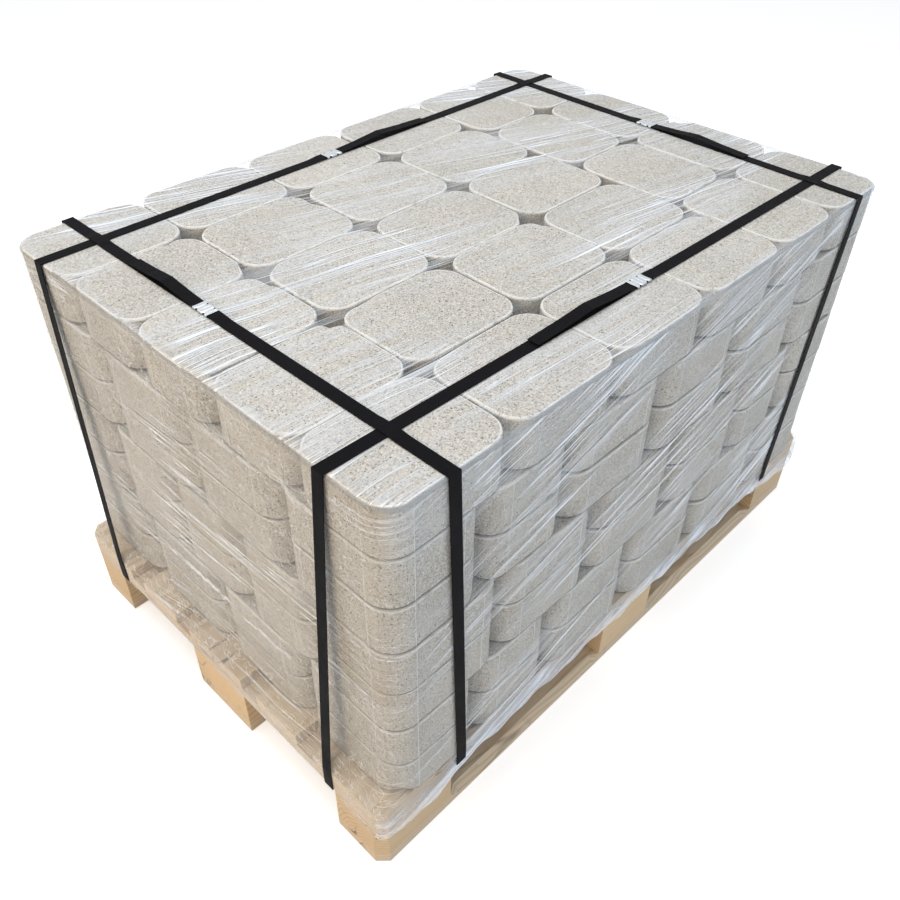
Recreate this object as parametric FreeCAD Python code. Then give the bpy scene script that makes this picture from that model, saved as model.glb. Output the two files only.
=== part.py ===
"""A strapped and wrapped pallet of pressed salt bricks.

Millimetres.  The origin is on the floor under the middle of the pallet, +X runs along
the pallet's length, +Y across its width and +Z up.  Seven layers of bricks stand on a
four-way timber pallet, under one skin of stretch film, and four plastic straps with
crimped steel seals tie the load to the deck.
"""
import FreeCAD
import Part
import math
import os
import random

# ---- pallet timber -------------------------------------------------------------
PALLET_LENGTH = 1200.0
PALLET_WIDTH = 800.0
BOARD_THICKNESS = 22.0
BLOCK_HEIGHT = 78.0
WIDE_BOARD = 145.0            # outer and middle deck boards, cross boards, middle runner
NARROW_BOARD = 100.0          # the two deck boards between them, and the outer runners
BLOCK_LENGTH = 145.0          # blocks along X
CORNER_CHAMFER = 16.0         # the pallet's four upright corners
RUNNER_BEVEL = 12.0           # bevel on the runners' upper edges between the blocks
BEVEL_SETBACK = 18.0          # from a block to where the bevel starts
TIMBER_SEAT = 0.3             # clearance between a piece of timber and the one under it

# ---- bricks ----------------------------------------------------------------------
BRICK_LENGTH = 200.0
BRICK_WIDTH = 160.0
BRICK_HEIGHT = 82.0
BRICK_CORNER_RADIUS = 38.0    # the four upright corners
BRICK_EDGE_CHAMFER = 2.5      # worn top and bottom edges
BRICK_GAP = 3.0               # mean gap between neighbours
LEAST_GAP = 2.3               # mean gap that no row of bricks goes under
PLACING_ERROR = 1.0           # how far a brick stands off its place, either way
BRICK_SEAT = 0.3              # clearance under a brick
LENGTHWISE_COLUMNS = 4        # columns of bricks that lie along X, five bricks deep
TURNED_COLUMNS = 2            # columns of turned bricks, four bricks deep
LENGTHWISE_ROWS = 5
TURNED_ROWS = 4
# The turned columns stand at the +X end where this says +1 and at the -X end for -1,
# from the bottom layer to the top one.
TURNED_END = (-1, -1, 1, 1, -1, -1, 1)

# ---- film, straps and seals ----------------------------------------------------
FILM_THICKNESS = 0.4
FILM_CLEARANCE = 0.5          # film to bricks and boards
FILM_CORNER_DROP = 20.0       # how far the film reaches down the corner blocks
FILM_FLARE_HEIGHT = 60.0      # where it widens from the load to the deck's edge
STRAP_WIDTH = 19.0
STRAP_THICKNESS = 0.9
STRAP_CLEARANCE = 0.3         # strap to film, to timber and to another strap
CROSSING_MARGIN = 4.0         # level strap each side of a strap that it crosses
STRAP_RAMP = 12.0             # length over which a strap climbs over something
SEAL_LENGTH = 32.0
SEAL_WALL = 0.7
SEAL_CLEARANCE = 0.15         # strap to seal, and one ply of strap to the other
SEAL_MARGIN = 6.0             # level strap each side of a seal
TAIL_RISE = 7.0               # how far a loose tail bows up from the strap
STRAP_TO_BLOCK = 2.5          # under the deck, a strap runs this far from block or board

# Each strap: the axis it runs along, its sideways place on top of the load at its minus
# and plus ends, the side of the pallet that it is on, its seal's place along it, the end
# of its loose tail, and the numbers of the straps that it passes over.
STRAPS = {
    1: dict(axis="x", top=(-304.0, -322.0), side=-1, seal=-7.0, tail=-229.0, over=()),
    2: dict(axis="x", top=(314.0, 326.0), side=1, seal=-30.0, tail=196.0, over=(4,)),
    3: dict(axis="y", top=(-471.0, -476.0), side=-1, seal=43.0, tail=217.0, over=(1, 2)),
    4: dict(axis="y", top=(478.0, 500.0), side=1, seal=19.0, tail=-195.0, over=(1,)),
}

# ---- worked out ------------------------------------------------------------------
RUNNER_TOP = BOARD_THICKNESS
BLOCK_BOTTOM = RUNNER_TOP + TIMBER_SEAT
BLOCK_TOP = BLOCK_BOTTOM + BLOCK_HEIGHT - TIMBER_SEAT
CROSS_BOTTOM = BLOCK_TOP
CROSS_TOP = CROSS_BOTTOM + BOARD_THICKNESS
DECK_BOTTOM = CROSS_TOP
DECK_TOP = DECK_BOTTOM + BOARD_THICKNESS

LAYERS = len(TURNED_END)
LAYER_PITCH = BRICK_HEIGHT + BRICK_SEAT
PITCH_LONG = BRICK_LENGTH + BRICK_GAP
# Both ways of lying the bricks fill the same width, so the wider one sets it.
LOAD_WIDTH = max(TURNED_ROWS * PITCH_LONG, LENGTHWISE_ROWS * (BRICK_WIDTH + LEAST_GAP))
PITCH_TURNED = LOAD_WIDTH / TURNED_ROWS
PITCH_SHORT = LOAD_WIDTH / LENGTHWISE_ROWS
LOAD_LENGTH = LENGTHWISE_COLUMNS * PITCH_LONG + TURNED_COLUMNS * PITCH_SHORT
LOAD_TOP = DECK_TOP + LAYERS * LAYER_PITCH


def box(x0, x1, y0, y1, z0, z1):
    """A plain block between two corners."""
    return Part.makeBox(x1 - x0, y1 - y0, z1 - z0, FreeCAD.Vector(x0, y0, z0))


def spread(total, widths):
    """Start and end of each board of the given widths, spaced evenly over a total."""
    gap = (total - sum(widths)) / (len(widths) - 1)
    spans = []
    at = -total / 2
    for width in widths:
        spans.append((at, at + width))
        at += width + gap
    return spans


def save(shape, name):
    """Write one node's solids."""
    shape.exportStep(os.path.join("parts", name + ".step"))


# ---- pallet ----------------------------------------------------------------------
def corner_trim(shape, z0, z1):
    """Chamfer the pallet's upright corners from a piece of timber."""
    x, y, c = PALLET_LENGTH / 2, PALLET_WIDTH / 2, CORNER_CHAMFER
    for sx in (-1, 1):
        for sy in (-1, 1):
            points = [FreeCAD.Vector(sx * x, sy * y, z0), FreeCAD.Vector(sx * (x - c), sy * y, z0),
                      FreeCAD.Vector(sx * x, sy * (y - c), z0), FreeCAD.Vector(sx * x, sy * y, z0)]
            wedge = Part.Face(Part.makePolygon(points)).extrude(FreeCAD.Vector(0, 0, z1 - z0))
            shape = shape.cut(wedge)
    return shape


def bevel_wedge(x0, x1, edge_y, side):
    """The sliver planed off a runner's upper edge between two blocks.

    Its section is a triangle, and its ends slope so that the bevel runs out to nothing.
    """
    b = RUNNER_BEVEL
    z = RUNNER_TOP
    run = BEVEL_SETBACK
    edge = [FreeCAD.Vector(x0, edge_y, z), FreeCAD.Vector(x1, edge_y, z)]
    inner = [FreeCAD.Vector(x0 + run, edge_y - side * b, z), FreeCAD.Vector(x1 - run, edge_y - side * b, z)]
    lower = [FreeCAD.Vector(x0 + run, edge_y, z - b), FreeCAD.Vector(x1 - run, edge_y, z - b)]
    faces = [Part.Face(Part.makePolygon([edge[0], edge[1], inner[1], inner[0], edge[0]])),
             Part.Face(Part.makePolygon([edge[0], edge[1], lower[1], lower[0], edge[0]])),
             Part.Face(Part.makePolygon([inner[0], inner[1], lower[1], lower[0], inner[0]])),
             Part.Face(Part.makePolygon([edge[0], inner[0], lower[0], edge[0]])),
             Part.Face(Part.makePolygon([edge[1], inner[1], lower[1], edge[1]]))]
    return Part.makeSolid(Part.makeShell(faces))


def make_pallet():
    """Five deck boards, three cross boards, nine blocks and three runners."""
    half = PALLET_LENGTH / 2
    columns = spread(PALLET_LENGTH, [BLOCK_LENGTH] * 3)
    cross = spread(PALLET_LENGTH, [WIDE_BOARD] * 3)
    runners = spread(PALLET_WIDTH, [NARROW_BOARD, WIDE_BOARD, NARROW_BOARD])
    deck = spread(PALLET_WIDTH, [WIDE_BOARD, NARROW_BOARD, WIDE_BOARD, NARROW_BOARD, WIDE_BOARD])

    for number, (y0, y1) in enumerate(deck, 1):
        board = box(-half, half, y0, y1, DECK_BOTTOM + TIMBER_SEAT, DECK_TOP)
        save(corner_trim(board, DECK_BOTTOM, DECK_TOP), "deck_board_%d" % number)

    for number, (x0, x1) in enumerate(cross, 1):
        board = box(x0, x1, -PALLET_WIDTH / 2, PALLET_WIDTH / 2, CROSS_BOTTOM + TIMBER_SEAT, CROSS_TOP)
        save(corner_trim(board, CROSS_BOTTOM, CROSS_TOP), "cross_board_%d" % number)

    for column, (x0, x1) in zip(("left", "middle", "right"), columns):
        for row, (y0, y1) in zip(("front", "centre", "back"), runners):
            block = box(x0, x1, y0, y1, BLOCK_BOTTOM, BLOCK_TOP)
            save(corner_trim(block, BLOCK_BOTTOM, BLOCK_TOP), "block_%s_%s" % (column, row))

    for row, (y0, y1) in zip(("front", "centre", "back"), runners):
        runner = box(-half, half, y0, y1, 0, RUNNER_TOP)
        for left, right in zip(columns, columns[1:]):
            for edge_y, side in ((y0, -1), (y1, 1)):
                runner = runner.cut(bevel_wedge(left[1], right[0], edge_y, side))
        save(corner_trim(runner, 0, RUNNER_TOP), "runner_%s" % row)


# ---- bricks ----------------------------------------------------------------------
def rounded_outline(length, width, radius, z):
    """A closed wire: a rectangle with round corners, centred on the Z axis."""
    x, y, r = length / 2, width / 2, radius
    k = r * (1 - math.sqrt(0.5))
    corners = ((1, 1), (-1, 1), (-1, -1), (1, -1))
    edges = []
    for number, (sx, sy) in enumerate(corners):
        on_side = FreeCAD.Vector(sx * x, sy * (y - r), z)
        on_end = FreeCAD.Vector(sx * (x - r), sy * y, z)
        middle = FreeCAD.Vector(sx * (x - k), sy * (y - k), z)
        first, last = (on_side, on_end) if sx * sy > 0 else (on_end, on_side)
        nx, ny = corners[(number + 1) % 4]
        if nx * ny > 0:
            follow = FreeCAD.Vector(nx * x, ny * (y - r), z)
        else:
            follow = FreeCAD.Vector(nx * (x - r), ny * y, z)
        edges.append(Part.Arc(first, middle, last).toShape())
        edges.append(Part.LineSegment(last, follow).toShape())
    return Part.Wire(edges)


def make_brick():
    """One brick, centred on the Z axis and standing on z = 0."""
    outline = rounded_outline(BRICK_LENGTH, BRICK_WIDTH, BRICK_CORNER_RADIUS, 0)
    brick = Part.Face(outline).extrude(FreeCAD.Vector(0, 0, BRICK_HEIGHT))
    rims = [e for e in brick.Edges if abs(e.BoundBox.ZMax - e.BoundBox.ZMin) < BRICK_EDGE_CHAMFER / 2]
    return brick.makeChamfer(BRICK_EDGE_CHAMFER, rims)


def brick_places(turned_end):
    """Centre and turn of every brick in one layer."""
    places = []
    lengthwise_start = -LOAD_LENGTH / 2
    turned_start = lengthwise_start + LENGTHWISE_COLUMNS * PITCH_LONG
    for column in range(LENGTHWISE_COLUMNS):
        x = lengthwise_start + (column + 0.5) * PITCH_LONG
        for row in range(LENGTHWISE_ROWS):
            places.append((x, -LOAD_WIDTH / 2 + (row + 0.5) * PITCH_SHORT, 0))
    for column in range(TURNED_COLUMNS):
        x = turned_start + (column + 0.5) * PITCH_SHORT
        for row in range(TURNED_ROWS):
            places.append((x, -LOAD_WIDTH / 2 + (row + 0.5) * PITCH_TURNED, 90))
    return [(turned_end * x, y, turn) for x, y, turn in places]


def make_layers():
    """Every layer of bricks, as solids that stand clear of each other."""
    brick = make_brick()
    errors = random.Random(7)
    for layer, turned_end in enumerate(TURNED_END):
        solids = []
        for x, y, turn in brick_places(turned_end):
            one = brick.copy()
            one.rotate(FreeCAD.Vector(0, 0, 0), FreeCAD.Vector(0, 0, 1), turn)
            dx = errors.uniform(-PLACING_ERROR, PLACING_ERROR)
            dy = errors.uniform(-PLACING_ERROR, PLACING_ERROR)
            z = DECK_TOP + BRICK_SEAT + layer * LAYER_PITCH
            one.translate(FreeCAD.Vector(x + dx, y + dy, z))
            solids.append(one)
        save(Part.makeCompound(solids), "brick_layer_%d" % (layer + 1))


# ---- film --------------------------------------------------------------------------
def film_levels(offset, roof):
    """Outlines of the film from the bottom up, at a distance from load and deck."""
    deck_l = PALLET_LENGTH + 2 * offset
    deck_w = max(PALLET_WIDTH, LOAD_WIDTH) + 2 * (PLACING_ERROR + offset)
    load_l = LOAD_LENGTH + 2 * (PLACING_ERROR + offset)
    radius = BRICK_CORNER_RADIUS + offset
    low = BLOCK_TOP - FILM_CORNER_DROP
    return [rounded_outline(deck_l, deck_w, CORNER_CHAMFER + offset, low),
            rounded_outline(deck_l, deck_w, CORNER_CHAMFER + offset, DECK_TOP),
            rounded_outline(load_l, deck_w, radius, DECK_TOP + FILM_FLARE_HEIGHT),
            rounded_outline(load_l, deck_w, radius, roof)]


def make_film():
    """The skin over the load, open below, which widens to the deck's edge at its foot."""
    inner_top = LOAD_TOP + FILM_CLEARANCE
    outer = Part.makeLoft(film_levels(FILM_CLEARANCE + FILM_THICKNESS, inner_top + FILM_THICKNESS), True, True)
    inner = Part.makeLoft(film_levels(FILM_CLEARANCE, inner_top), True, True)
    film = outer.cut(inner)
    # Between the corner blocks its lower edge follows the boards that it wraps.
    far = PALLET_LENGTH
    low = 0
    film = film.cut(box(-PALLET_LENGTH / 2 + BLOCK_LENGTH, PALLET_LENGTH / 2 - BLOCK_LENGTH,
                        -far, far, low, DECK_BOTTOM + TIMBER_SEAT))
    film = film.cut(box(-far, far, -PALLET_WIDTH / 2 + NARROW_BOARD, PALLET_WIDTH / 2 - NARROW_BOARD,
                        low, CROSS_BOTTOM + TIMBER_SEAT))
    save(film, "stretch_film")


# ---- straps ------------------------------------------------------------------------
STRAP_LEVEL = LOAD_TOP + FILM_CLEARANCE + FILM_THICKNESS + STRAP_CLEARANCE
SEAL_LIFT = SEAL_WALL + SEAL_CLEARANCE
PLY = STRAP_THICKNESS + SEAL_CLEARANCE


def placed(axis, s, t, z):
    """A point at s along a strap's run and t to its side."""
    return FreeCAD.Vector(s, t, z) if axis == "x" else FreeCAD.Vector(t, s, z)


def runs(strap):
    """Where a strap turns: its half length on the load, at the deck, and its lower level."""
    skin = FILM_CLEARANCE + FILM_THICKNESS + STRAP_CLEARANCE
    if strap["axis"] == "x":
        return LOAD_LENGTH / 2 + PLACING_ERROR + skin, PALLET_LENGTH / 2 + skin, CROSS_BOTTOM
    on_load = max(PALLET_WIDTH, LOAD_WIDTH) / 2 + PLACING_ERROR + skin
    return on_load, on_load, DECK_BOTTOM


def lower_place(strap):
    """Sideways place of a strap's run under the deck, just clear of block or board."""
    if strap["axis"] == "x":
        return strap["side"] * (PALLET_WIDTH / 2 - NARROW_BOARD - STRAP_TO_BLOCK - STRAP_WIDTH / 2)
    return strap["side"] * (PALLET_LENGTH / 2 - WIDE_BOARD - STRAP_TO_BLOCK - STRAP_WIDTH / 2)


def side_place(strap, s):
    """Sideways place of a strap at s along the top of the load."""
    half = runs(strap)[0]
    low, high = strap["top"]
    return low + (high - low) * (s + half) / (2 * half)


def strap_route(strap):
    """Inner line of a strap as (s, z, t), from its lower end, once round, to its tail."""
    half_load, half_deck, board = runs(strap)
    under = board + TIMBER_SEAT - STRAP_CLEARANCE
    way = 1 if strap["tail"] > strap["seal"] else -1
    reach = SEAL_LENGTH / 2 + SEAL_MARGIN
    seal = strap["seal"]
    humps = [side_place(STRAPS[n], strap["top"][0]) for n in strap["over"]]

    def on_top(points):
        return [(s, z, side_place(strap, s)) for s, z in points]

    def climbs(low, high):
        """The rises over crossed straps between two places, in the order they are met."""
        rise = STRAP_THICKNESS + STRAP_CLEARANCE
        half = STRAP_WIDTH / 2 + CROSSING_MARGIN
        found = []
        for at in sorted((h for h in humps if low < h < high), reverse=way < 0):
            found += [(at - way * (half + STRAP_RAMP), STRAP_LEVEL), (at - way * half, STRAP_LEVEL + rise),
                      (at + way * half, STRAP_LEVEL + rise), (at + way * (half + STRAP_RAMP), STRAP_LEVEL)]
        return found

    ahead = (seal, half_load) if way > 0 else (-half_load, seal)
    behind = (-half_load, seal) if way > 0 else (seal, half_load)
    lower = STRAP_LEVEL + SEAL_LIFT
    upper = lower + PLY
    start = seal - way * reach
    route = on_top([(start, lower), (seal + way * reach, lower), (seal + way * (reach + STRAP_RAMP), STRAP_LEVEL)]
                   + climbs(*ahead) + [(way * half_load, STRAP_LEVEL)])
    low_t = lower_place(strap)
    route += [(way * half_deck, DECK_TOP, low_t), (way * half_deck, under, low_t),
              (-way * half_deck, under, low_t), (-way * half_deck, DECK_TOP, low_t)]
    tail = abs(strap["tail"] - seal)
    loose = tail - reach
    bow = [(seal + way * (reach + loose * f), upper + TAIL_RISE * h)
           for f, h in ((0.2, 0.35), (0.45, 1.0), (0.7, 0.5), (1.0, 0.15))]
    route += on_top([(-way * half_load, STRAP_LEVEL)] + climbs(*behind)
                    + [(start - way * (2 * STRAP_RAMP), STRAP_LEVEL), (start - way * STRAP_RAMP / 3, upper),
                       (seal + way * reach, upper)] + bow)
    return route, way


def band(route, axis, way):
    """A strip of even thickness on the outer side of a route, mitred at its turns."""
    sections = []
    for i, (s, z, t) in enumerate(route):
        normals = []
        for a, b in ((i - 1, i), (i, i + 1)):
            if a >= 0 and b < len(route):
                ds, dz = route[b][0] - route[a][0], route[b][1] - route[a][1]
                length = math.hypot(ds, dz)
                normals.append((-way * dz / length, way * ds / length))
        ns, nz = sum(n[0] for n in normals), sum(n[1] for n in normals)
        scale = STRAP_THICKNESS / (ns * normals[0][0] + nz * normals[0][1])
        half = STRAP_WIDTH / 2
        corners = [placed(axis, s, t - half, z), placed(axis, s, t + half, z),
                   placed(axis, s + ns * scale, t + half, z + nz * scale),
                   placed(axis, s + ns * scale, t - half, z + nz * scale)]
        sections.append(Part.makePolygon(corners + corners[:1]))
    return Part.makeLoft(sections, True, True)


def seal(strap):
    """The crimped sleeve that holds both plies of a strap."""
    s, t = strap["seal"], side_place(strap, strap["seal"])
    half = SEAL_LENGTH / 2
    bore_w = STRAP_WIDTH / 2 + SEAL_CLEARANCE
    slant = abs(strap["top"][1] - strap["top"][0]) / (2 * runs(strap)[0]) * SEAL_LENGTH
    bore_w += slant
    floor, roof = STRAP_LEVEL + SEAL_WALL, STRAP_LEVEL + SEAL_LIFT + 2 * PLY
    w = SEAL_WALL
    if strap["axis"] == "x":
        outer = box(s - half, s + half, t - bore_w - w, t + bore_w + w, floor - w, roof + w)
        return outer.cut(box(s - half - w, s + half + w, t - bore_w, t + bore_w, floor, roof))
    outer = box(t - bore_w - w, t + bore_w + w, s - half, s + half, floor - w, roof + w)
    return outer.cut(box(t - bore_w, t + bore_w, s - half - w, s + half + w, floor, roof))


def make_straps():
    """Four straps, each one strip from its lower end to its tail, and their seals."""
    for number, strap in STRAPS.items():
        route, way = strap_route(strap)
        save(band(route, strap["axis"], way), "strap_%d" % number)
        save(seal(strap), "seal_%d" % number)


os.makedirs("parts", exist_ok=True)
make_pallet()
make_layers()
make_film()
make_straps()
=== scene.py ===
"""The looks of a strapped and wrapped pallet of salt bricks, around its fixed CAD frame."""
import bpy
import math
import numpy as np
from mathutils import Matrix, Vector


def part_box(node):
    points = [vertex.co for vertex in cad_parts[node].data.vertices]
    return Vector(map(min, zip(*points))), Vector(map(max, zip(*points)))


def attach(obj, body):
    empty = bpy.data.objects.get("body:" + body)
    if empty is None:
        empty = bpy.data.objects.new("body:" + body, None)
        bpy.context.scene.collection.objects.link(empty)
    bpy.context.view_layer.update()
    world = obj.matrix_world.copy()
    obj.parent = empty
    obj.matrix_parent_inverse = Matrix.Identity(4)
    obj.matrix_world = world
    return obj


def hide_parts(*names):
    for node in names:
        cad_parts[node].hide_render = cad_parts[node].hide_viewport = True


bl_info = {
    "name": "Salt brick pallet",
    "version": (1, 0, 0),
    "blender": (4, 5, 0),
    "location": "View3D > Sidebar > Salt pallet",
    "description": "Dresses a pallet of salt bricks: bricks, timber, film, straps and seals",
    "category": "Object",
}

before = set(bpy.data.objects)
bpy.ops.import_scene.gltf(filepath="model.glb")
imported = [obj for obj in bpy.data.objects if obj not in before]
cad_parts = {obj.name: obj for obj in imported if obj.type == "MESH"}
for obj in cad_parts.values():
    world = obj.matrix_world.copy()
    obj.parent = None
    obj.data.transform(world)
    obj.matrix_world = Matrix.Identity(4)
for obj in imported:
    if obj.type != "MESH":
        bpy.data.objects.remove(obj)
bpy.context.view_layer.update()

BODY = "root"
LAYERS = sorted(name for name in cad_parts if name.startswith("brick_layer_"))
DECK_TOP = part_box("deck_board_1")[1][2]
DECK_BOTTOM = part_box("deck_board_1")[0][2]
FILM_LOW, FILM_HIGH = (Vector(corner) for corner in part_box("stretch_film"))
LOAD_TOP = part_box(LAYERS[-1])[1][2]
BRICK_CORNER = 0.038


# ---- what a user may change ----------------------------------------------------------
class SaltPalletSizes(bpy.types.PropertyGroup):
    """Sizes of the finish."""

    brick_edge: bpy.props.FloatProperty(
        name="Brick edge", description="Radius of a brick's worn top and bottom edges",
        default=0.0027, unit="LENGTH")
    seam_height: bpy.props.FloatProperty(
        name="Mould seam", description="Height of the fins that the mould leaves beside a brick's corners",
        default=0.0009, unit="LENGTH")
    chip_depth: bpy.props.FloatProperty(
        name="Chip depth", description="Depth of the deepest chips on the bricks' edges",
        default=0.007, unit="LENGTH")
    film_ripple: bpy.props.FloatProperty(
        name="Film ripple", description="Height of the film's large folds",
        default=0.0012, unit="LENGTH")


class SaltPalletColours(bpy.types.PropertyGroup):
    """Colours of the finish."""

    salt: bpy.props.FloatVectorProperty(
        name="Salt", description="Body colour of the bricks", subtype="COLOR", default=(0.52, 0.485, 0.43))
    speck: bpy.props.FloatVectorProperty(
        name="Specks", description="Dark mineral grains", subtype="COLOR", default=(0.16, 0.13, 0.11))
    # Also paints the bricks' lighter top rims, both as rubbing and as a painted highlight.
    dust_and_highlight: bpy.props.FloatVectorProperty(
        name="Dust", description="Rubbed edges and dust", subtype="COLOR", default=(0.76, 0.745, 0.71))
    timber: bpy.props.FloatVectorProperty(
        name="Boards", description="Spring wood of the boards", subtype="COLOR", default=(0.66, 0.54, 0.40))
    block: bpy.props.FloatVectorProperty(
        name="Blocks", description="Spring wood of the blocks", subtype="COLOR", default=(0.66, 0.50, 0.32))
    strap: bpy.props.FloatVectorProperty(
        name="Straps", description="Black strapping", subtype="COLOR", default=(0.006, 0.006, 0.007))
    # The film's white in its folds stands partly for a painted reflection of the sky.
    film: bpy.props.FloatVectorProperty(
        name="Film", description="Stretched film where it lies in folds", subtype="COLOR",
        default=(0.86, 0.91, 0.98))


# ---- shader building -------------------------------------------------------------------
class Value:
    """A number in a shader.  Its operators add Math nodes."""

    def __init__(self, net, socket):
        self.net = net
        self.socket = socket

    def maths(self, operation, *others, first=None):
        values = ([first] if first is not None else []) + [self] + list(others)
        node = self.net.node("ShaderNodeMath", {"operation": operation}, dict(enumerate(values)))
        return Value(self.net, node.outputs[0])

    def __add__(self, other):
        return self.maths("ADD", other)

    __radd__ = __add__

    def __mul__(self, other):
        return self.maths("MULTIPLY", other)

    __rmul__ = __mul__

    def __sub__(self, other):
        return self.maths("SUBTRACT", other)

    def __rsub__(self, other):
        return self.maths("SUBTRACT", first=other)

    def __pow__(self, other):
        return self.maths("POWER", other)

    def step(self, low, high, to_low=0.0, to_high=1.0):
        """Rises smoothly from to_low to to_high as the value goes from low to high."""
        node = self.net.node("ShaderNodeMapRange", {"interpolation_type": "SMOOTHSTEP"},
                             {0: self, 1: low, 2: high, 3: to_low, 4: to_high})
        return Value(self.net, node.outputs[0])

    def near(self, centre, width):
        """One at centre, falling to nothing a width away."""
        return (self - centre).maths("ABSOLUTE").step(0.0, width, 1.0, 0.0)


class Net:
    """The nodes of one procedural material, or of the world."""

    def __init__(self, name, world=None):
        self.material = world or bpy.data.materials.new(name)
        self.material.use_nodes = True
        self.tree = self.material.node_tree
        self.tree.nodes.clear()
        self.output = self.tree.nodes.new("ShaderNodeOutputWorld" if world else "ShaderNodeOutputMaterial")

    def node(self, kind, settings, inputs):
        """Any node: its type, its settings, and the values or links of its sockets."""
        node = self.tree.nodes.new(kind)
        for key, value in settings.items():
            setattr(node, key, value)
        for key, value in inputs.items():
            socket = node.inputs[key]
            value = value.socket if isinstance(value, Value) else value
            if isinstance(value, bpy.types.NodeSocket):
                self.tree.links.new(value, socket)
            elif hasattr(value, "__len__") and socket.type == "RGBA" and len(value) == 3:
                socket.default_value = (*value, 1.0)
            else:
                socket.default_value = value
        return node

    def place(self, name="Object"):
        return self.node("ShaderNodeTexCoord", {}, {}).outputs[name]

    def attribute(self, name):
        node = self.node("ShaderNodeAttribute", {"attribute_name": name}, {})
        return Value(self, node.outputs["Fac"])

    def mapped(self, vector, scale=(1, 1, 1), turn=(0, 0, 0), shift=(0, 0, 0)):
        return self.node("ShaderNodeMapping", {}, {"Vector": vector, "Scale": scale, "Rotation": turn,
                                                   "Location": shift}).outputs[0]

    def noise(self, vector, scale, detail=2.0, roughness=0.5, distortion=0.0):
        node = self.node("ShaderNodeTexNoise", {}, {"Vector": vector, "Scale": scale, "Detail": detail,
                                                    "Roughness": roughness, "Distortion": distortion})
        return Value(self, node.outputs[0])

    def cells(self, vector, scale):
        return self.node("ShaderNodeTexVoronoi", {}, {"Vector": vector, "Scale": scale})

    def axes(self, vector):
        node = self.node("ShaderNodeSeparateXYZ", {}, {0: vector})
        return [Value(self, out) for out in node.outputs]

    def vector(self, x, y, z):
        return self.node("ShaderNodeCombineXYZ", {}, {0: x, 1: y, 2: z}).outputs[0]

    def mix(self, factor, one, other, blend="MIX"):
        """Colour one, going to the other as the factor goes to one."""
        node = self.node("ShaderNodeMix", {"data_type": "RGBA", "blend_type": blend},
                         {0: factor, 6: one, 7: other})
        return node.outputs[2]

    def bump(self, height, distance, strength=1.0):
        return self.node("ShaderNodeBump", {}, {"Height": height, "Distance": distance,
                                                "Strength": strength}).outputs[0]

    def seen(self):
        """One where the camera sees straight to this, in a reflection or through a clear thing."""
        path = self.node("ShaderNodeLightPath", {}, {})
        rays = [Value(self, path.outputs["Is %s Ray" % kind]) for kind in ("Camera", "Glossy", "Transmission")]
        return (rays[0] + rays[1] + rays[2]).maths("MINIMUM", 1.0)

    def blend(self, factor, one, other):
        """The finished surface, going from one shader to the other."""
        node = self.node("ShaderNodeMixShader", {}, {0: factor, 1: one, 2: other})
        self.tree.links.new(node.outputs[0], self.output.inputs["Surface"])
        return self.material

    def surface(self, **inputs):
        """The finished surface; underscores stand for spaces in the sockets' names."""
        shader = self.node("ShaderNodeBsdfPrincipled", {},
                           {key.replace("_", " "): value for key, value in inputs.items()})
        self.tree.links.new(shader.outputs[0], self.output.inputs["Surface"])
        return self.material


def colours():
    return bpy.context.scene.salt_pallet_colours


def sizes():
    return bpy.context.scene.salt_pallet_sizes


# ---- mesh building ---------------------------------------------------------------------
def lattice(points, seed):
    """A steady pseudo-random number from 0 to 1 for each whole-number point."""
    mixed = points[..., 0] * 374761393 + points[..., 1] * 668265263 + points[..., 2] * 2147483647 + seed * 974634777
    mixed = (mixed ^ (mixed >> 13)) * 1274126177
    return ((mixed ^ (mixed >> 16)) & 0xFFFF) / 0xFFFF


def wander(points, size, seed=0):
    """Smooth noise from -1 to 1: the lattice's numbers, blended between its points."""
    scaled = points / size
    low = np.floor(scaled).astype(np.int64)
    part = scaled - low
    part = part * part * (3 - 2 * part)
    total = np.zeros(points.shape[:-1])
    for corner in np.ndindex(2, 2, 2):
        weight = np.prod(np.where(np.array(corner) == 1, part, 1 - part), axis=-1)
        total += weight * lattice(low + np.array(corner), seed)
    return total * 2 - 1


def grid_faces(rows, columns, closed_columns=True, closed_rows=False):
    """Quads between neighbouring points of a grid, row by row."""
    last_row = rows if closed_rows else rows - 1
    last_column = columns if closed_columns else columns - 1
    r, c = np.meshgrid(np.arange(last_row), np.arange(last_column), indexing="ij")
    r2, c2 = (r + 1) % rows, (c + 1) % columns
    return np.stack([r * columns + c, r * columns + c2, r2 * columns + c2, r2 * columns + c], -1).reshape(-1, 4)


def make_mesh(name, points, quads, polygons=(), attributes=None, uv=None):
    """A mesh piece from points, quads and other polygons, riding on the body."""
    points = np.asarray(points, float).reshape(-1, 3)
    faces = [tuple(face) for face in np.asarray(quads).tolist()] + [tuple(face) for face in polygons]
    mesh = bpy.data.meshes.new(name)
    mesh.from_pydata(points.tolist(), [], faces)
    for key, values in (attributes or {}).items():
        mesh.attributes.new(key, "FLOAT", "POINT").data.foreach_set("value", np.ravel(values).astype(np.float32))
    if uv is not None:
        corner_point = np.zeros(len(mesh.loops), np.int32)
        mesh.loops.foreach_get("vertex_index", corner_point)
        layer = mesh.uv_layers.new(name="UVMap")
        layer.data.foreach_set("uv", np.asarray(uv, np.float32).reshape(-1, 2)[corner_point].ravel())
    mesh.polygons.foreach_set("use_smooth", [True] * len(mesh.polygons))
    mesh.validate()
    mesh.update()
    piece = bpy.data.objects.new(name, mesh)
    bpy.context.scene.collection.objects.link(piece)
    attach(piece, BODY)
    return piece


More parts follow.
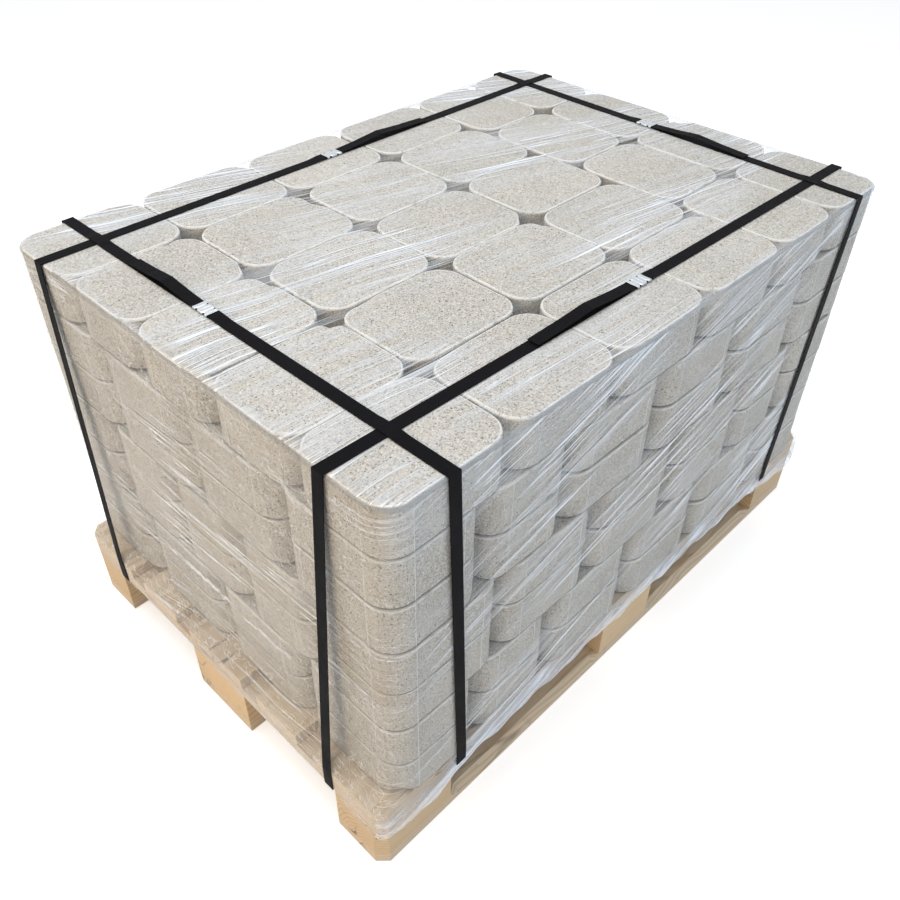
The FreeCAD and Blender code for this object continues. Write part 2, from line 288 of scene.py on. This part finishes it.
def outline(half_x, half_y, radius, arc=8, straight=6, seam=0.0):
    """A rectangle with round corners, anticlockwise: points, outward normals, seam marks.

    Each corner is a quarter circle; each side is cut evenly, with three extra points close
    to each end of it, and the middle one of the three is marked as on the mould's seam.
    """
    points, normals, marks = [], [], []
    for number in range(4):
        sx, sy = ((1, 1), (-1, 1), (-1, -1), (1, -1))[number]
        turn = np.radians(90 * number + np.linspace(0, 90, arc + 1))
        ring = np.stack([np.cos(turn), np.sin(turn)], 1)
        points.append(np.array([sx * (half_x - radius), sy * (half_y - radius)]) + radius * ring)
        normals.append(ring)
        marks.append(np.zeros(arc + 1))
        if straight:
            along = np.array([-ring[-1][1], ring[-1][0]])
            length = 2 * ((half_x if number % 2 == 0 else half_y) - radius)
            ends = [seam, 2 * seam, 3 * seam] if seam else []
            steps = np.array(ends + list(np.linspace(0, length, straight + 1)[1:-1]) + [length - e for e in ends[::-1]])
            points.append(points[-1][-1] + steps[:, None] * along)
            normals.append(np.repeat(ring[-1:], len(steps), 0))
            mark = np.zeros(len(steps))
            if seam:
                mark[[1, -2]] = 1
            marks.append(mark)
    return np.concatenate(points), np.concatenate(normals), np.concatenate(marks)


# A brick of the bottom layer has lost its outer corner: place, reach and depth.
BROKEN_CORNER = ((-0.556, -0.394, DECK_TOP), 0.020, 0.012)


# ---- bricks ---------------------------------------------------------------------------
def brick_boxes(node):
    """Centre and half size of every brick of a layer, from the CAD node's own corners."""
    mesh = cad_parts[node].data
    corners = np.zeros(len(mesh.vertices) * 3, np.float32)
    mesh.vertices.foreach_get("co", corners)
    corners = corners.reshape(-1, 3)
    triangles = np.array([face.vertices[:] for face in mesh.polygons])
    keys, index = np.unique(np.round(corners, 5), axis=0, return_inverse=True)
    group = np.arange(len(keys))
    joined = index.ravel()[triangles]
    while True:
        lowest = group[joined].min(axis=1)
        before = group.copy()
        for column in range(joined.shape[1]):
            np.minimum.at(group, joined[:, column], lowest)
        group = group[group]
        if (before == group).all():
            break
    found = []
    for name in np.unique(group):
        own = keys[group == name]
        low, high = own.min(0), own.max(0)
        found.append(((low + high) / 2, (high - low) / 2))
    return found


def brick_rings(height, edge):
    """Inset and height of each ring of a brick, from the flat of its base to that of its top."""
    turn = np.radians([0, 30, 60, 90])
    inset, rise = 1 - np.sin(turn), 1 - np.cos(turn)
    foot = 1.7 * edge
    flat = [edge + 0.014, edge + 0.0010]
    middle = [foot + 0.0012, 0.35 * height, 0.65 * height, height - edge - 0.0012]
    inward = np.concatenate([[foot + 0.014, foot + 0.001], foot * inset, [0] * len(middle), edge * inset[::-1], flat[::-1]])
    level = np.concatenate([[0, 0], foot * rise, middle, height - edge * rise[::-1], [height] * 2])
    # The bottom rings are marked for a painted shade: a dark line where the joint below each brick lies in shadow.
    foot_shade_rings = (level < foot * 1.01).astype(float)
    # The top rings are marked for lighter rims: rubbed salt and a painted highlight where the round edge meets the
    # light.
    over = (level > height - edge * 1.01).astype(float)
    over[-2:] = 0
    return inward, level, foot_shade_rings, over


def make_layer(node, seed):
    """One layer of bricks.

    A brick is its rounded outline drawn in by each ring's inset, so that a quarter circle
    rounds its rims.  Noise makes its faces uneven, seams stand out where the mark says, and
    a chip draws points towards the brick's middle by a bell curve of their distance.
    """
    size = sizes()
    rng = np.random.default_rng(seed)
    points, tones, rims, seams, foot_shade, quads, caps = [], [], [], [], [], [], []
    for number, (centre, half) in enumerate(brick_boxes(node)):
        flat, normal, seam = outline(half[0], half[1], BRICK_CORNER, seam=0.0011)
        inset, level, foot_shade_rings, over = brick_rings(2 * half[2], size.brick_edge)
        count = len(flat)
        ring = flat[None] - normal[None] * inset[:, None, None]
        base = np.concatenate([ring, np.broadcast_to(level[:, None, None], (*ring.shape[:2], 1))], -1)
        base += centre - [0, 0, half[2]]
        outward = np.concatenate([np.broadcast_to(normal, ring.shape), np.zeros((*ring.shape[:2], 1))], -1)
        on_side = (inset < 1e-6)[:, None]
        swell = 0.00032 * wander(base, 0.045, seed) + 0.00020 * wander(base, 0.011, seed + 3)
        fin = size.seam_height * seam[None] * on_side * (0.6 + 0.4 * wander(base, 0.02, seed + 5))
        base = base + outward * (swell + fin + 0.0001)[..., None]
        chips = []
        for _ in range(rng.integers(1, 4)):
            at = rng.integers(count)
            top = rng.random() < 0.7
            spot = np.append(flat[at], 2 * half[2] if top else 0) + centre - [0, 0, half[2]]
            chips.append((spot, rng.uniform(0.006, 0.022), size.chip_depth * rng.uniform(0.2, 1.0) ** 2))
        broken = np.abs(centre - BROKEN_CORNER[0])
        if (broken < half + 0.002).all():
            chips.append(BROKEN_CORNER)
        for spot, reach, depth in chips:
            away = np.linalg.norm(base - spot, axis=-1) / reach * (1 + 0.35 * wander(base, 0.006, seed + 9))
            inwards = (centre - spot) / np.linalg.norm(centre - spot)
            base = base + inwards * (depth * np.exp(-away ** 2))[..., None]
        start = sum(len(p) for p in points)
        points.append(base.reshape(-1, 3))
        tones.append(np.full(base.shape[:2], rng.random()).ravel())
        rims.append(np.broadcast_to(over[:, None], base.shape[:2]).ravel())
        foot_shade.append(np.broadcast_to(foot_shade_rings[:, None], base.shape[:2]).ravel())
        seams.append(np.broadcast_to(seam[None] * on_side, base.shape[:2]).ravel())
        quads.append(grid_faces(len(inset), count) + start)
        caps.append(list(range(start + count - 1, start - 1, -1)))
        caps.append(list(range(start + (len(inset) - 1) * count, start + len(inset) * count)))
    piece = make_mesh("bricks_" + node.rsplit("_", 1)[1], np.concatenate(points), np.concatenate(quads), caps,
                      {"tone": np.concatenate(tones), "rim": np.concatenate(rims),
                       "seam": np.concatenate(seams), "foot": np.concatenate(foot_shade)})
    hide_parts(node)
    return piece


def salt_material():
    """Pressed salt: pale, dry and grainy, with dark specks, top rims lighter from rubbing and from a painted highlight,
    and a painted shade along each brick's bottom edge.
    """
    net = Net("pressed_salt")
    place = net.place()
    tone, rim, seam = net.attribute("tone"), net.attribute("rim"), net.attribute("seam")
    cloud = net.noise(place, 9.0, 3.0, 0.55)
    grain = net.noise(place, 420.0, 3.0, 0.7)
    blotch = net.noise(place, 55.0, 3.0, 0.6)
    cells = net.cells(place, 330.0)
    size = Value(net, cells.outputs["Distance"])
    pick = net.axes(cells.outputs["Color"])[0]
    speck = size.step(0.18, 0.36, 1.0, 0.0) * pick.step(0.50, 0.64)
    coarse = net.cells(place, 150.0)
    big = Value(net, coarse.outputs["Distance"]).step(0.14, 0.22, 1.0, 0.0) * net.axes(
        coarse.outputs["Color"])[1].step(0.80, 0.86)
    body = colours().salt
    light = [min(1.0, c * 1.07) for c in body]
    dark = [c * 0.93 for c in body]
    warm = (body[0] * 1.04, body[1] * 0.97, body[2] * 0.86)
    colour = net.mix(cloud.step(0.35, 0.65), dark, light)
    colour = net.mix(blotch.step(0.45, 0.75) * 0.55, colour, warm)
    colour = net.mix(tone * 0.5, colour, [c * 0.88 for c in body])
    colour = net.mix(grain.step(0.52, 0.66) * 0.8, colour, colours().dust_and_highlight)
    colour = net.mix(grain.step(0.48, 0.34) * 0.75, colour, [c * 0.50 for c in body])
    colour = net.mix(speck * 0.75, colour, colours().speck)
    colour = net.mix(big * 0.85, colour, [c * 0.7 for c in colours().speck])
    # Top rims go lighter: partly rubbed salt, partly a painted highlight on the round top edge.
    colour = net.mix(rim.step(0.1, 0.9) * blotch.step(0.25, 0.50) * 0.8, colour, colours().dust_and_highlight)
    # Painted shade: each brick's bottom edge is darkened nearly to black, because the joint between layers is shaded.
    colour = net.mix(net.attribute("foot").step(0.1, 0.8) * 0.85, colour, [c * 0.16 for c in body])
    colour = net.mix(seam.step(0.15, 0.7) * 0.85, colour, colours().dust_and_highlight)
    height = grain * 0.6 + blotch * 0.5 - speck * 0.8 - big
    return net.surface(Base_Color=colour, Roughness=0.92 - 0.12 * rim, Specular_IOR_Level=0.25,
                       Normal=net.bump(height, 0.0016, 0.9))


class SALTPALLET_OT_bricks(bpy.types.Operator):
    """Model every brick of every layer"""

    bl_idname = "salt_pallet.bricks"
    bl_label = "Bricks"

    def execute(self, context):
        material = salt_material()
        for number, node in enumerate(LAYERS, 1):
            make_layer(node, 40 * number).data.materials.append(material)
        return {"FINISHED"}


# ---- timber ---------------------------------------------------------------------------
def wood_material(name, colour, along, pith, seed):
    """Sawn softwood: rings round a pith line that runs along one axis, seen on every face."""
    net = Net(name)
    place = net.place()
    order = {"x": (1, 2, 0), "y": (0, 2, 1)}[along]
    parts = net.axes(place)
    across, up, run = (parts[i] for i in order)
    centred = net.vector(across - pith[0], up - pith[1], run * 0.05)
    drift = net.noise(net.vector(across * 3, up * 3, run * 0.9 + seed), 3.0, 2.0, 0.5)
    fibre = net.noise(net.vector(across * 260, up * 260, run * 7.0 + seed), 1.0, 3.0, 0.6)
    length = net.node("ShaderNodeVectorMath", {"operation": "LENGTH"}, {0: centred}).outputs["Value"]
    radius = Value(net, length) + (drift - 0.5) * 0.05
    wave = (radius * (2 * math.pi / 0.0062)).maths("SINE") * 0.5 + 0.5
    ring = wave ** 2.4
    knots = net.cells(net.vector(across * 5, up * 5, run * 1.7 + seed), 1.0)
    knot = Value(net, knots.outputs["Distance"]).step(0.05, 0.16, 1.0, 0.0)
    stain = net.noise(net.vector(across, up, run * 0.6 + seed), 6.0, 4.0, 0.6)
    dirt = net.noise(net.vector(across, up, run + seed * 2), 38.0, 4.0, 0.65)
    late = (colour[0] * 0.74, colour[1] * 0.60, colour[2] * 0.42)
    pale = [min(1.0, c * 1.1) for c in colour]
    shade = net.mix(ring * 0.55, pale, late)
    shade = net.mix(fibre.step(0.35, 0.75) * 0.35, shade, [c * 0.78 for c in colour])
    shade = net.mix(stain.step(0.45, 0.75) * 0.4, shade, (colour[0] * 0.86, colour[1] * 0.84, colour[2] * 0.86))
    shade = net.mix(knot * 0.8, shade, (colour[0] * 0.42, colour[1] * 0.27, colour[2] * 0.16))
    shade = net.mix(dirt.step(0.58, 0.78) * 0.35, shade, (0.30, 0.25, 0.20))
    split = net.noise(net.vector(across * 16, up * 16, run * 1.1 + seed), 1.0, 2.0, 0.5, 0.4)
    split = split.near(0.5, 0.014) * stain.step(0.50, 0.62)
    shade = net.mix(split * 0.8, shade, (0.10, 0.07, 0.05))
    height = fibre * 0.7 + ring * 0.5 + dirt * 0.3 - split * 1.5
    return net.surface(Base_Color=shade, Roughness=0.62 + 0.25 * fibre, Specular_IOR_Level=0.3,
                       Normal=net.bump(height, 0.0007, 0.7))


class SALTPALLET_OT_timber(bpy.types.Operator):
    """Give the pallet's boards, blocks and runners their wood"""

    bl_idname = "salt_pallet.timber"
    bl_label = "Timber"

    def execute(self, context):
        groups = (("deck_board", "x", colours().timber, 0.16), ("cross_board", "y", colours().timber, 0.12),
                  ("runner", "x", colours().timber, -0.14), ("block", "x", colours().block, 0.07))
        for prefix, along, colour, depth in groups:
            for number, name in enumerate(sorted(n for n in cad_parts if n.startswith(prefix))):
                low, high = (np.array(corner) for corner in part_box(name))
                middle = (low + high) / 2
                side = middle[1] if along == "x" else middle[0]
                pith = (side + 0.05 * math.sin(2.3 * number), middle[2] - depth + 0.02 * math.cos(1.7 * number))
                tint = [c * (1 + 0.06 * math.sin(3.1 * number + len(prefix))) for c in colour]
                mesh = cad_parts[name].data
                mesh.materials.clear()
                mesh.materials.append(wood_material("wood_" + name, tint, along, pith, 3.7 * number))
        return {"FINISHED"}


# ---- straps and seals -------------------------------------------------------------------
def strap_material():
    """Black plastic strapping with a rolled waffle on its faces."""
    net = Net("black_strapping")
    place = net.place()
    parts = net.axes(place)
    waffle = ((parts[0] + parts[1]) * 2100).maths("SINE") * ((parts[0] - parts[1]) * 2100).maths("SINE")
    scuff = net.noise(net.mapped(place, (1, 1, 0.3)), 70.0, 4.0, 0.7)
    base = colours().strap
    colour = net.mix(scuff.step(0.58, 0.80) * 0.4, base, (0.022, 0.022, 0.024))
    return net.surface(Base_Color=colour, Roughness=scuff.step(0.3, 0.8, 0.55, 0.70), Specular_IOR_Level=0.03,
                       Normal=net.bump(waffle * 0.5 + scuff * 0.6, 0.0003, 0.6))


def steel_material():
    """Galvanised sheet, with spangle, scratches and a dull bloom."""
    net = Net("galvanised_seal")
    place = net.place()
    spangle = net.axes(net.cells(place, 210.0).outputs["Color"])[0]
    scratch = net.noise(net.mapped(place, (300, 40, 300)), 1.0, 2.0, 0.6)
    colour = net.mix(spangle * 0.5, (0.62, 0.65, 0.68), (0.42, 0.45, 0.48))
    colour = net.mix(scratch.step(0.55, 0.75) * 0.4, colour, (0.80, 0.82, 0.84))
    return net.surface(Base_Color=colour, Metallic=1.0, Roughness=0.28 + 0.2 * spangle,
                       Normal=net.bump(scratch + spangle * 0.4, 0.0003, 0.5))


def make_seal(node):
    """A crimped seal: its section is a flattened ring, carried along the strap.

    The section's corners are round, and at each crimp the section narrows and its roof
    folds down by a bell curve of the distance along the seal.
    """
    low, high = (np.array(corner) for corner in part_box(node))
    middle, half = (low + high) / 2, (high - low) / 2
    along = 0 if node in ("seal_1", "seal_2") else 1
    side = 1 - along
    rows, length = 41, half[along]
    s = np.linspace(-length, length, rows)
    section, normal, _ = outline(half[side], half[2], 0.0011, arc=4, straight=10)
    crimps = np.array([-0.5, 0.5]) * length
    pinch = np.exp(-((s[:, None] - crimps) / 0.0022) ** 2).sum(1)
    cross = np.broadcast_to(section, (rows, *section.shape)).copy()
    lateral = np.abs(section[:, 0]) / half[side]
    cross[..., 0] -= np.sign(section[:, 0]) * pinch[:, None] * 0.0021 * (lateral > 0.85)
    roof = section[:, 1] > 0
    cross[..., 1] -= pinch[:, None] * 0.0012 * lateral ** 2 * roof
    cross[..., 1] -= 0.00025 * (1 + np.cos(s * 900))[:, None] * roof * (1 - lateral ** 2)
    inner = cross - normal * 0.0006
    points = np.zeros((2 * rows, len(section), 3))
    profile = np.concatenate([cross, inner[::-1]])
    run = np.concatenate([s, s[::-1]])
    points[..., along] = run[:, None] + middle[along]
    points[..., side] = profile[..., 0] * (1 if along == 0 else -1) + middle[side]
    points[..., 2] = profile[..., 1] + middle[2]
    quads = grid_faces(2 * rows, len(section), closed_rows=True)
    if along == 0:
        quads = quads[:, ::-1]
    piece = make_mesh("crimped_" + node, points, quads[:, ::-1] if along else quads)
    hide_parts(node)
    return piece


class SALTPALLET_OT_straps(bpy.types.Operator):
    """Finish the straps and model their crimped seals"""

    bl_idname = "salt_pallet.straps"
    bl_label = "Straps and seals"

    def execute(self, context):
        black, steel = strap_material(), steel_material()
        for number in range(1, 5):
            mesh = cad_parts["strap_%d" % number].data
            mesh.materials.clear()
            mesh.materials.append(black)
            make_seal("seal_%d" % number).data.materials.append(steel)
        return {"FINISHED"}


# ---- film ------------------------------------------------------------------------------
def film_material():
    """Clear stretch film: nearly unseen where it is tight, white where it lies in folds; part of that white is a
    painted reflection of the sky.

    The flow map runs along the film's pull.  Noise drawn out along the pull gives its
    wrinkles, thin where the noise crosses its middle value, and broad cloudy bands.
    """
    net = Net("clear_stretch_film")
    flow, place = net.place("UV"), net.place()
    top, gather_and_glare, veil_and_glare = net.attribute("top"), net.attribute("gather_and_glare"), net.attribute("veil_and_glare")
    run, rise, _ = net.axes(flow)
    x, y, z = net.axes(place)
    rise = rise + (net.noise(flow, 3.0, 2.0, 0.5) - 0.5) * 0.03
    fine = net.noise(net.vector(run * 1.3, rise * 70, 0.0), 1.0, 2.0, 0.55)
    hair = net.noise(net.vector(run * 1.7, rise * 190, 7.0), 1.0, 1.0, 0.5)
    wide = net.noise(net.vector(run * 1.6, rise * 17, 3.0), 1.0, 2.0, 0.6)
    patch = net.noise(net.vector(run * 2.0, rise * 7, 5.0), 1.0, 2.0, 0.6)
    crease = net.noise(net.vector(run * 11, rise * 75, 1.0), 1.0, 3.0, 0.70, 0.5)
    tight = fine.near(0.5, 0.030) * patch.step(0.42, 0.60)
    thin = hair.near(0.5, 0.035) * patch.step(0.36, 0.58)
    band = wide.step(0.52, 0.74)
    wrinkle = net.noise(net.vector(x * 30, y * 30, 0.0), 1.0, 3.0, 0.7) - 0.5
    left = x.step(-0.550, -0.562)
    bunch = (z - 0.278 + wrinkle * 0.05).near(0.0, 0.011) * left * y.step(-0.21, -0.16) * y.step(0.18, 0.13)
    scratch = net.noise(net.vector(x * 5, y * 24 + z * 16, z * 52 - y * 20), 1.0, 2.0, 0.65, 0.8)
    # The film is hazier on the front-left face, and the same mask also paints that side's film as shade.
    left_haze_and_shade = left * z.step(0.13, 0.17) * patch.step(0.28, 0.70, 0.04, 0.24)
    # The wrinkle lines and bands are laid on as white film: real folds, with a painted reflection of the sky in them.
    opacity = veil_and_glare * (tight * 1.05 + thin * 0.55 + band * 0.15) + crease.near(0.5, 0.04) * (0.03 + gather_and_glare * 0.30)
    # Part of the gathered film and of the veil near the top edge is painted glare.
    opacity = opacity + gather_and_glare * (0.42 + 0.40 * fine.step(0.40, 0.60)) + bunch * crease.step(0.40, 0.62) * 0.75
    opacity = opacity + top * fine.step(0.45, 0.64) * patch.step(0.30, 0.65) * 0.26
    opacity = opacity + left_haze_and_shade + left * scratch.near(0.5, 0.03) * 0.30
    cover = (0.05 + opacity).maths("MINIMUM", 0.92)
    colour = net.mix(gather_and_glare.step(0.15, 0.8), colours().film, (0.76, 0.83, 0.93))
    # Painted shade: on the front-left face the film's colour goes to a dark warm brown, so that side looks darker and
    # warmer.
    colour = net.mix(left_haze_and_shade * 3.5 * (1 - tight), colour, (0.50, 0.42, 0.31))
    height = fine * 0.7 + wide * 0.9 + crease * (0.15 + gather_and_glare * 0.6) + hair * 0.25
    return net.surface(Base_Color=colour, Roughness=0.18 + 0.14 * band, Alpha=cover, Specular_IOR_Level=0.7,
                       Normal=net.bump(height, 0.0022, 0.9))


def film_level(t, corner):
    """Height of the film's lower edge round the pallet: it drops over the corner blocks."""
    return DECK_BOTTOM - 0.012 - 0.028 * corner + 0.004 * np.sin(t * 41) + 0.003 * np.sin(t * 97)


def make_film():
    """The skin of film over the load.

    A grid goes round the load's outline and up from its lower edge to the rim, and then
    shrinks across the top to the middle.  Below the flare it follows the deck's outline,
    above it the load's, and a smooth step joins them.  Noise ripples it outwards.
    """
    size = sizes()
    half = (FILM_HIGH - FILM_LOW) / 2
    load_x = max(abs(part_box(name)[k][0]) for name in LAYERS for k in (0, 1)) + 0.0009
    load_y = half[1] - 0.0006
    deck_x, deck_y = half[0] - 0.0006, half[1] - 0.0006
    shape = dict(arc=10, straight=120)
    load, load_n, _ = outline(load_x, load_y, 0.0385, **shape)
    deck, deck_n, _ = outline(deck_x, deck_y, 0.0175, **shape)
    count = len(load)
    gap = np.linalg.norm(np.diff(deck, axis=0, append=deck[:1]), axis=1)
    around = np.concatenate([[0], np.cumsum(gap)[:-1]])
    on_long = np.abs(deck[:, 1]) > deck_y - 0.02
    corner = np.where(on_long, np.abs(deck[:, 0]) > deck_x - 0.145, np.abs(deck[:, 1]) > deck_y - 0.10).astype(float)
    corner = np.convolve(np.concatenate([corner[-4:], corner, corner[:4]]), np.ones(9) / 9, "valid")
    lower = np.where(on_long, film_level(around, corner), film_level(around, corner) - 0.012 * (1 - corner))
    rim = 0.006
    side_rows = 74
    up = np.linspace(0, 1, side_rows) ** 0.9
    z = lower[None] + (LOAD_TOP - rim - lower[None]) * up[:, None]
    flare = np.clip((z - DECK_TOP) / 0.055, 0, 1)
    flare = (flare * flare * (3 - 2 * flare))[..., None]
    side = deck[None] * (1 - flare) + load[None] * flare
    normal = load_n[None] * flare + deck_n[None] * (1 - flare)
    side = np.concatenate([side, z[..., None]], -1)
    turn = np.radians([30, 60, 90])
    ring = [np.concatenate([load - load_n * rim * (1 - math.cos(a)),
                            np.full((count, 1), LOAD_TOP + 0.0006 - rim * (1 - math.sin(a)))], 1) for a in turn]
    shrink = (1 - np.linspace(0, 1, 44)[1:-1] ** 1.05)[:, None, None]
    flat = (load - load_n * rim)[None] * shrink
    flat = np.concatenate([flat, np.full((*flat.shape[:2], 1), LOAD_TOP + 0.0006)], -1)
    points = np.concatenate([side, np.array(ring), flat])
    rows = len(points)
    is_top = np.zeros(rows)
    is_top[side_rows + 1:] = 1
    lift = np.clip(wander(points * [1, 1, 1.6], 0.09, 5), 0, 1) + 0.4 * np.clip(wander(points, 0.03, 8), 0, 1)
    out = np.zeros_like(points)
    out[:side_rows, :, :2] = normal
    out[side_rows:, :, 2] = 1
    slack = np.linspace(0, 1, side_rows) ** 0.5
    fade = np.concatenate([slack, np.full(rows - side_rows, 0.45)])
    foot = np.zeros((rows, count))
    foot[:side_rows] = np.exp(-((z - lower[None] - 0.020) / 0.009) ** 2) * (points[:side_rows, :, 1] < -0.39)
    beside_strap = np.clip((np.abs(np.abs(points[..., 0]) - 0.47) - 0.022) / 0.02, 0, 1)
    roll = 0.0035 * foot * beside_strap * (0.6 + 0.4 * wander(points, 0.05, 44))
    points += out * (size.film_ripple * lift * fade[:, None] + roll)[..., None]
    quads = grid_faces(rows, count)
    cap = [list(range((rows - 1) * count, rows * count))]
    height = np.concatenate([np.broadcast_to(z, (side_rows, count)), np.zeros((rows - side_rows, count))])
    x, y = points[..., 0], points[..., 1]
    fan_x, fan_y = 2.2, -0.45
    lean = np.cumsum(np.where(on_long, 0.25, 0.06) * gap)
    u = np.where(is_top[:, None] > 0, np.hypot(fan_x - x, fan_y - y) + 9, around[None])
    v = np.where(is_top[:, None] > 0, 1.8 * np.arctan2(y - fan_y, fan_x - x) + 5, height - lean[None])
    beside = is_top[:, None] < 1
    below = np.clip(1.4 - (height - lower[None]) / 0.045, 0, 1) * beside
    edge = np.zeros(rows)
    edge[side_rows - 1:side_rows + 3] = 0.30
    # Painted glare: close to the top edge, the film on the side faces is made whiter.
    glare_near_rim = np.clip((height - 0.60) / 0.10, 0, 1) * beside
    # On the front-right face that band adds painted glare to the gathered film. The rest is film gathered at its foot
    # and over the top edge.
    gather_and_glare = np.clip(0.45 * glare_near_rim * (y < -0.39) * (0.5 + wander(points, 0.12, 33)) + below * (0.65 + 0.35 * wander(points, 0.05, 12)) * np.where(y < -0.39, 1.25, 0.14)
                     + edge[:, None] * (0.6 + 0.4 * wander(points, 0.06, 14)), 0, 1)
    facing = np.abs(y) > load_y - 0.03
    inside = np.minimum(load_x - np.abs(x), load_y - np.abs(y))
    on_top = 0.75 + 0.45 * np.exp(-inside / 0.07)
    # On the long faces, the veil thickens towards the top edge: painted glare.
    on_side = np.where(facing, 0.62 + 0.55 * np.clip((x + 0.5) / 0.7, 0, 1) + 0.5 * glare_near_rim, 0.50)
    tight = (np.abs(x) > 0.44) & (np.abs(y) > 0.28)
    veil_and_glare = np.where(beside, np.where(tight, 0.34, on_side), on_top)
    veil_and_glare = np.broadcast_to(veil_and_glare, (rows, count)) * (0.75 + 0.25 * wander(points, 0.18, 21))
    piece = make_mesh("film", points, quads, cap, {"top": np.broadcast_to(is_top[:, None], (rows, count)),
                                                    "gather_and_glare": gather_and_glare, "veil_and_glare": veil_and_glare}, np.stack([u, v], -1))
    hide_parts("stretch_film")
    return piece


class SALTPALLET_OT_film(bpy.types.Operator):
    """Model the skin of stretch film"""

    bl_idname = "salt_pallet.film"
    bl_label = "Stretch film"

    def execute(self, context):
        make_film().data.materials.append(film_material())
        return {"FINISHED"}


# ---- stage -----------------------------------------------------------------------------
def area_light(name, place, aim, energy, size, colour):
    """A soft lamp that looks at a point."""
    lamp = bpy.data.lights.new(name, "AREA")
    lamp.energy, lamp.size, lamp.color = energy, size, colour
    holder = bpy.data.objects.new(name, lamp)
    holder.location = place
    holder.rotation_euler = (Vector(aim) - Vector(place)).to_track_quat("-Z", "Y").to_euler()
    bpy.context.scene.collection.objects.link(holder)


def pale_floor():
    """A floor that shows as white and keeps the object's shadow."""
    net = Net("pale_floor")
    plain = net.node("ShaderNodeBsdfDiffuse", {}, {"Color": (0.86, 0.86, 0.87)}).outputs[0]
    glow = net.node("ShaderNodeEmission", {}, {"Color": (1.0, 1.0, 1.0), "Strength": 0.50}).outputs[0]
    both = net.node("ShaderNodeAddShader", {}, {0: plain, 1: glow}).outputs[0]
    return net.blend(net.seen(), plain, both)


def daylight():
    """Even daylight on the object, from a sky that shows as white."""
    net = Net("daylight", bpy.context.scene.world or bpy.data.worlds.new("daylight"))
    sky = net.node("ShaderNodeBackground", {}, {"Color": (0.95, 0.97, 1.0), "Strength": 0.46}).outputs[0]
    white = net.node("ShaderNodeBackground", {}, {"Color": (1.0, 1.0, 1.0), "Strength": 1.0}).outputs[0]
    return net.blend(net.seen(), sky, white)


class SALTPALLET_OT_stage(bpy.types.Operator):
    """Set the floor, the lamps and the camera"""

    bl_idname = "salt_pallet.stage"
    bl_label = "Stage"

    def execute(self, context):
        scene = context.scene
        scene.view_settings.view_transform = "Standard"
        extent = 30.0
        corners = [(-extent, -extent, 0), (extent, -extent, 0), (extent, extent, 0), (-extent, extent, 0)]
        mesh = bpy.data.meshes.new("floor")
        mesh.from_pydata([(x, y, z - 0.0005) for x, y, z in corners], [], [(0, 1, 2, 3)])
        floor = bpy.data.objects.new("floor", mesh)
        scene.collection.objects.link(floor)
        mesh.materials.append(pale_floor())
        scene.world = daylight()
        middle = (0, 0, 0.4)
        area_light("overhead", (-0.4, 0.5, 3.6), middle, 84, 2.6, (0.94, 0.97, 1.0))
        area_light("left_lamp", (-3.6, -0.6, 1.9), middle, 50, 2.2, (1.0, 0.77, 0.47))
        area_light("right_lamp", (1.2, -3.8, 1.7), middle, 38, 2.4, (0.60, 0.80, 1.0))
        camera = bpy.data.cameras.new("camera")
        camera.sensor_width = 36.0
        camera.lens = 35.687
        holder = bpy.data.objects.new("camera", camera)
        right = Vector((0.69885, -0.71514, 0.01343))
        down = Vector((-0.45932, -0.46310, -0.75800))
        ahead = Vector((0.54829, 0.52356, -0.65212))
        turn = Matrix((right, -down, -ahead)).transposed()
        holder.matrix_world = Matrix.Translation((-0.97498, -0.88178, 1.34876)) @ turn.to_4x4()
        scene.collection.objects.link(holder)
        scene.camera = holder
        return {"FINISHED"}


# ---- the add-on ------------------------------------------------------------------------
OPERATORS = (SALTPALLET_OT_bricks, SALTPALLET_OT_timber, SALTPALLET_OT_straps, SALTPALLET_OT_film,
             SALTPALLET_OT_stage)


class SALTPALLET_PT_panel(bpy.types.Panel):
    """Lists the steps that dress the pallet"""

    bl_label = "Salt pallet"
    bl_idname = "SALTPALLET_PT_panel"
    bl_space_type = "VIEW_3D"
    bl_region_type = "UI"
    bl_category = "Salt pallet"

    def draw(self, context):
        for group in (context.scene.salt_pallet_sizes, context.scene.salt_pallet_colours):
            for name in group.__annotations__:
                self.layout.prop(group, name)
        for operator in OPERATORS:
            self.layout.operator(operator.bl_idname)


CLASSES = (SaltPalletSizes, SaltPalletColours, *OPERATORS, SALTPALLET_PT_panel)


def register():
    for one in CLASSES:
        bpy.utils.register_class(one)
    bpy.types.Scene.salt_pallet_sizes = bpy.props.PointerProperty(type=SaltPalletSizes)
    bpy.types.Scene.salt_pallet_colours = bpy.props.PointerProperty(type=SaltPalletColours)


def unregister():
    del bpy.types.Scene.salt_pallet_sizes
    del bpy.types.Scene.salt_pallet_colours
    for one in reversed(CLASSES):
        bpy.utils.unregister_class(one)


def main():
    register()
    bpy.ops.salt_pallet.stage()
    bpy.ops.salt_pallet.bricks()
    bpy.ops.salt_pallet.timber()
    bpy.ops.salt_pallet.straps()
    bpy.ops.salt_pallet.film()


if __name__ == "__main__":
    main()
